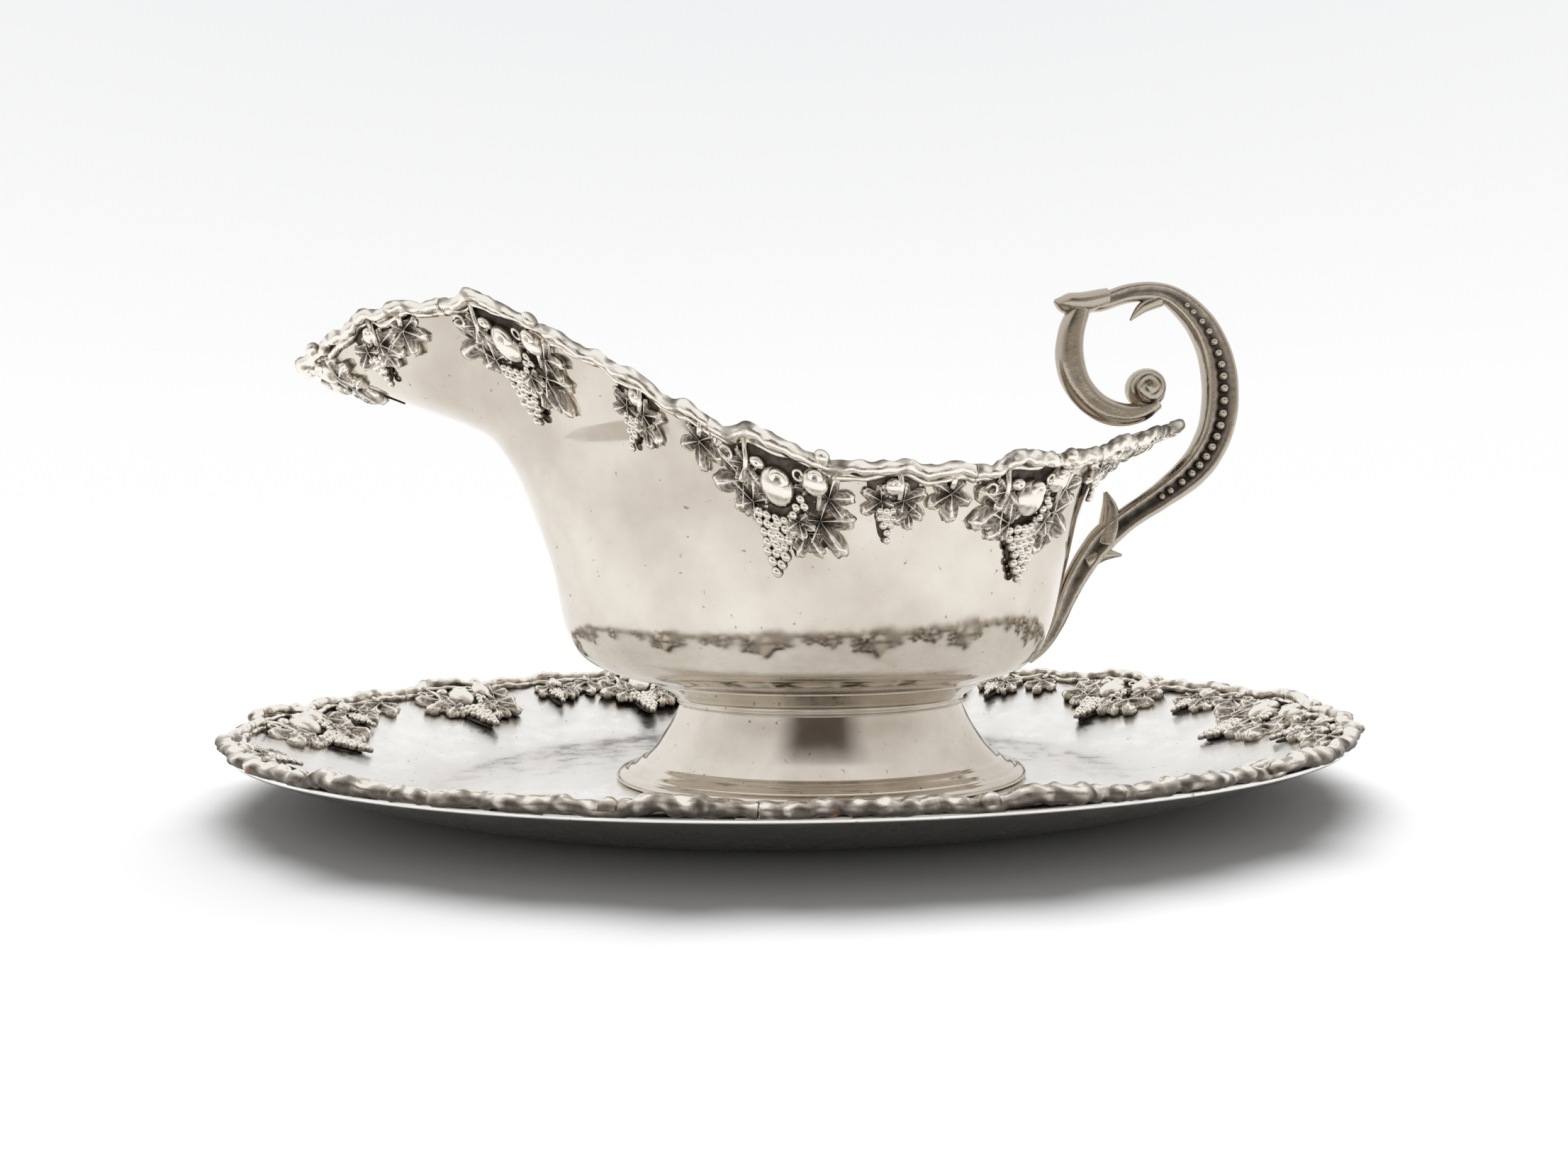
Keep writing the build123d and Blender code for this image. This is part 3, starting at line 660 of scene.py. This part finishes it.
def make_handle():
    parts = Parts()
    handle_bar(parts, HANDLE_BOW, 200, width=1.1, groove=0.7)
    bow_beads(parts)
    handle_bar(parts, HANDLE_SCROLL, 150, width=1.05, groove=0.25)
    volute(parts)
    handle_bar(parts, HANDLE_UPRIGHT_LEAF, 30, width=1.2, groove=0.3)
    handle_bar(parts, HANDLE_SPUR_LEAF, 24)
    handle_bar(parts, HANDLE_TONGUE, 24)
    handle_bar(parts, HANDLE_THUMB_LEAF, 30, width=1.3)
    return add_mesh("handle_casting", np.concatenate(parts.points), parts.faces, np.concatenate(parts.relief))


# ------------------------------------------------------------------ materials
def new_material(name):
    material = bpy.data.materials.new(name)
    material.use_nodes = True
    nodes, links = material.node_tree.nodes, material.node_tree.links
    return material, nodes, links, nodes["Principled BSDF"]


def noise(nodes, links, place, scale, detail=4.0, rough=0.55):
    node = nodes.new("ShaderNodeTexNoise")
    node.inputs["Scale"].default_value = scale
    node.inputs["Detail"].default_value = detail
    node.inputs["Roughness"].default_value = rough
    links.new(place, node.inputs["Vector"])
    return node.outputs["Fac"]


def ramp(nodes, links, value, stops):
    node = nodes.new("ShaderNodeValToRGB")
    while len(node.color_ramp.elements) < len(stops):
        node.color_ramp.elements.new(0.5)
    for element, (at, colour) in zip(node.color_ramp.elements, stops):
        element.position = at
        element.color = (*colour, 1) if len(colour) == 3 else colour
    links.new(value, node.inputs["Fac"])
    return node.outputs["Color"]


def mix_colour(nodes, links, share, a, b, how="MIX"):
    node = nodes.new("ShaderNodeMix")
    node.data_type = "RGBA"
    node.blend_type = how
    for socket, value in ((node.inputs[0], share), (node.inputs[6], a), (node.inputs[7], b)):
        if isinstance(value, bpy.types.NodeSocket):
            links.new(value, socket)
        elif isinstance(value, tuple):
            socket.default_value = (*value, 1)
        else:
            socket.default_value = value
    return node.outputs[2]


def bump(nodes, links, height, strength, distance, under=None):
    node = nodes.new("ShaderNodeBump")
    node.inputs["Strength"].default_value = strength
    node.inputs["Distance"].default_value = distance
    links.new(height, node.inputs["Height"])
    if under:
        links.new(under, node.inputs["Normal"])
    return node.outputs["Normal"]


def grey(value):
    return (value, value, value)


def plate(name, bright, tarnish, roughness, mottle, painted_underside_shade=False):
    """Polished plate: cloudy tarnish, water marks, hairline scratches and small dark pits, and on request
    painted shade on the faces that turn downwards.
    """
    material, nodes, links, shader = new_material(name)
    place = nodes.new("ShaderNodeTexCoord").outputs["Object"]
    cloud = noise(nodes, links, place, 26, 6, 0.6)
    fine = noise(nodes, links, place, 190, 5, 0.6)
    share = ramp(nodes, links, cloud, [(0.38, grey(0.0)), (0.68, grey(mottle))])
    colour = mix_colour(nodes, links, share, bright, tarnish)
    specks = ramp(nodes, links, noise(nodes, links, place, 620, 2, 0.5), [
        (0.70, grey(0.0)), (0.76, grey(0.6))])
    colour = mix_colour(nodes, links, specks, colour, (0.12, 0.09, 0.07))
    # Painted shade: faces turned downwards are darkened towards a dark warm grey, standing in for the shadow
    # under the tray's edge.
    if painted_underside_shade:
        geometry = nodes.new("ShaderNodeNewGeometry")
        down = nodes.new("ShaderNodeVectorMath")
        down.operation = "DOT_PRODUCT"
        down.inputs[1].default_value = (0, 0, -1)
        links.new(geometry.outputs["Normal"], down.inputs[0])
        under = ramp(nodes, links, down.outputs["Value"], [(0.15, grey(0.0)), (0.5, grey(1.0))])
        colour = mix_colour(nodes, links, under, colour, (0.20, 0.185, 0.165))
    links.new(colour, shader.inputs["Base Color"])
    shader.inputs["Metallic"].default_value = 1.0
    rough = ramp(nodes, links, fine, [(0.35, grey(roughness * 0.7)), (0.7, grey(roughness * 1.6))])
    links.new(rough, shader.inputs["Roughness"])
    squeeze = nodes.new("ShaderNodeMapping")
    squeeze.inputs["Scale"].default_value = (40, 900, 420)
    squeeze.inputs["Rotation"].default_value = (0.3, 0.5, 0.2)
    links.new(place, squeeze.inputs["Vector"])
    hair = noise(nodes, links, squeeze.outputs["Vector"], 1.0, 3, 0.6)
    dents = noise(nodes, links, place, 38, 2, 0.4)
    soft = bump(nodes, links, dents, 0.12, 0.0006)
    links.new(bump(nodes, links, hair, 0.05, 0.00005, soft), shader.inputs["Normal"])
    return material


def antique(name, low, high, rubbed_and_lit, roughness):
    """Cast mounts: black in the recesses (oxide and painted shade), grey-brown silver above, bright and
    coppery where rubbed, brightest where painted highlight is put on tops that face up.
    """
    material, nodes, links, shader = new_material(name)
    place = nodes.new("ShaderNodeTexCoord").outputs["Object"]
    relief = nodes.new("ShaderNodeAttribute")
    relief.attribute_name = "relief"
    cloud = noise(nodes, links, place, 420, 5, 0.65)
    add = nodes.new("ShaderNodeMath")
    add.operation = "MULTIPLY_ADD"
    links.new(cloud, add.inputs[0])
    add.inputs[1].default_value = 0.55
    links.new(relief.outputs["Fac"], add.inputs[2])
    # The shading value carries patina and painted light. Low values paint undersides, skirts and the ground
    # between ornaments near black. The tops of grapes and bars are painted lighter as if lit from above and
    # reach the brightest colour.
    base = ramp(nodes, links, add.outputs[0], [
        (0.22, (0.022, 0.018, 0.015)), (0.5, low), (0.86, high), (1.0, rubbed_and_lit)])
    copper = ramp(nodes, links, noise(nodes, links, place, 95, 4, 0.7), [
        (0.66, grey(0.0)), (0.74, grey(0.55))])
    colour = mix_colour(nodes, links, copper, base, (0.50, 0.20, 0.13))
    links.new(colour, shader.inputs["Base Color"])
    shader.inputs["Metallic"].default_value = 1.0
    rough = ramp(nodes, links, add.outputs[0], [
        (0.3, grey(0.6)), (0.9, grey(roughness)), (1.0, grey(roughness * 0.7))])
    links.new(rough, shader.inputs["Roughness"])
    pits = noise(nodes, links, place, 900, 4, 0.6)
    links.new(bump(nodes, links, pits, 0.35, 0.00025), shader.inputs["Normal"])
    return material


MATERIALS = {
    "plate": plate("boat_plate", (0.74, 0.69, 0.62), (0.50, 0.44, 0.37), 0.10, 0.8),
    "tray": plate("tray_plate", (0.93, 0.92, 0.90), (0.80, 0.78, 0.74), 0.30, 0.5, painted_underside_shade=True),
    "border": antique("border_plate", (0.19, 0.165, 0.14), (0.56, 0.51, 0.45), (0.88, 0.84, 0.77), 0.24),
    "handle": antique("handle_plate", (0.07, 0.06, 0.05), (0.30, 0.26, 0.215), (0.46, 0.41, 0.34), 0.26),
}


def finish_piece(piece, body, slot, material, *nodes):
    if body == "boat":
        piece.data.transform(Matrix.Translation((BOAT_SHIFT * MM, 0, 0)))
    piece.data.materials.append(material)
    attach(piece, body)
    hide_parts(*nodes)


# ------------------------------------------------------------------ studio
def make_floor():
    half = 6000.0
    corners = [(-half, -half, 0), (half, -half, 0), (half, half, 0), (-half, half, 0)]
    floor = add_mesh("floor", corners, [(0, 1, 2, 3)])
    material, nodes, links, shader = new_material("paper")
    place = nodes.new("ShaderNodeTexCoord").outputs["Object"]
    tone = ramp(nodes, links, noise(nodes, links, place, 3.0, 2, 0.5), [(0.3, grey(0.83)), (0.7, grey(0.86))])
    links.new(tone, shader.inputs["Base Color"])
    shader.inputs["Roughness"].default_value = 0.9
    shader.inputs["Specular IOR Level"].default_value = 0.0
    floor.data.materials.append(material)


def make_world():
    """White for the eye.

    Reflections see a white room with a dimmer, warmer front and someone standing there.
    """
    world = bpy.data.worlds.new("studio")
    bpy.context.scene.world = world
    world.use_nodes = True
    nodes, links = world.node_tree.nodes, world.node_tree.links
    nodes.clear()
    out = nodes.new("ShaderNodeOutputWorld")
    background = nodes.new("ShaderNodeBackground")
    path = nodes.new("ShaderNodeLightPath")
    place = nodes.new("ShaderNodeTexCoord").outputs["Generated"]
    split = nodes.new("ShaderNodeSeparateXYZ")
    links.new(place, split.inputs[0])
    depth = nodes.new("ShaderNodeMath")
    depth.operation = "MULTIPLY_ADD"
    links.new(split.outputs["Y"], depth.inputs[0])
    depth.inputs[1].default_value = 0.5
    depth.inputs[2].default_value = 0.5
    room = ramp(nodes, links, depth.outputs[0], [
        (0.0, (0.50, 0.455, 0.40)), (0.14, (0.56, 0.52, 0.465)),
        (0.42, (0.95, 0.94, 0.92)), (0.6, (1.0, 1.0, 1.0))])
    overhead = ramp(nodes, links, split.outputs["Z"], [(0.30, grey(0.0)), (0.75, grey(1.0))])
    room = mix_colour(nodes, links, overhead, room, (1.0, 1.0, 1.0))
    beside = nodes.new("ShaderNodeMath")
    beside.operation = "MULTIPLY_ADD"
    links.new(split.outputs["X"], beside.inputs[0])
    beside.inputs[1].default_value = 0.5
    beside.inputs[2].default_value = 0.5
    wide = ramp(nodes, links, beside.outputs[0], [
        (0.30, grey(0.0)), (0.40, grey(1.0)), (0.60, grey(1.0)), (0.70, grey(0.0))])
    tall = ramp(nodes, links, split.outputs["Z"], [
        (0.24, grey(0.0)), (0.34, grey(1.0)), (0.62, grey(1.0)), (0.76, grey(0.0))])
    ahead = ramp(nodes, links, depth.outputs[0], [(0.25, grey(0.92)), (0.42, grey(0.0))])
    someone = mix_colour(nodes, links, 1.0, wide, tall, "MULTIPLY")
    someone = mix_colour(nodes, links, 1.0, someone, ahead, "MULTIPLY")
    room = mix_colour(nodes, links, someone, room, (0.07, 0.05, 0.04))
    sweep = ramp(nodes, links, split.outputs["Z"], [
        (0.0, grey(1.0)), (0.12, grey(0.99)), (0.5, (0.86, 0.865, 0.875))])
    glossy = mix_colour(nodes, links, path.outputs["Is Glossy Ray"], (0.42, 0.42, 0.42), room)
    colour = mix_colour(nodes, links, path.outputs["Is Camera Ray"], glossy, sweep)
    links.new(colour, background.inputs["Color"])
    background.inputs["Strength"].default_value = 1.0
    links.new(background.outputs[0], out.inputs["Surface"])


def make_sun():
    """A wide soft light from above and a little behind, so that the shadow falls forwards."""
    data = bpy.data.lights.new("softbox", "SUN")
    data.energy = 3.0
    data.angle = 1.0
    light = bpy.data.objects.new("softbox", data)
    light.rotation_mode = "QUATERNION"
    light.rotation_quaternion = Vector((0.0, -0.32, -1.0)).to_track_quat("-Z", "Y")
    light.visible_glossy = False
    bpy.context.scene.collection.objects.link(light)


def make_camera():
    data = bpy.data.cameras.new("camera")
    data.sensor_width = 36.0
    data.lens = 24.09
    data.clip_start, data.clip_end = 0.01, 50.0
    camera = bpy.data.objects.new("camera", data)
    pitch, roll = math.radians(90 - 2.42), math.radians(-0.65)
    turn = Matrix.Rotation(pitch, 4, "X") @ Matrix.Rotation(roll, 4, "Z")
    camera.matrix_world = Matrix.Translation((-0.001, -0.270, 0.0607)) @ turn
    bpy.context.scene.collection.objects.link(camera)
    bpy.context.scene.camera = camera


# ------------------------------------------------------------------ put it together
finish_piece(make_tray(), "tray", "tray_plate", MATERIALS["tray"], "tray_dish")
finish_piece(make_foot(), "boat", "boat_plate", MATERIALS["plate"], "boat_foot")
finish_piece(make_bowl(), "boat", "boat_plate", MATERIALS["plate"], "boat_bowl")
finish_piece(make_handle(), "boat", "handle_plate", MATERIALS["handle"], "boat_handle")
make_border("tray_border", Edge(tray_surface, -1), TRAY_CLUSTERS, "tray", "border_plate")
make_border("boat_border", Edge(boat_surface, 1), BOAT_CLUSTERS, "boat", "border_plate")

make_floor()
make_world()
make_camera()
make_sun()

bpy.context.scene.view_settings.view_transform = "Standard"
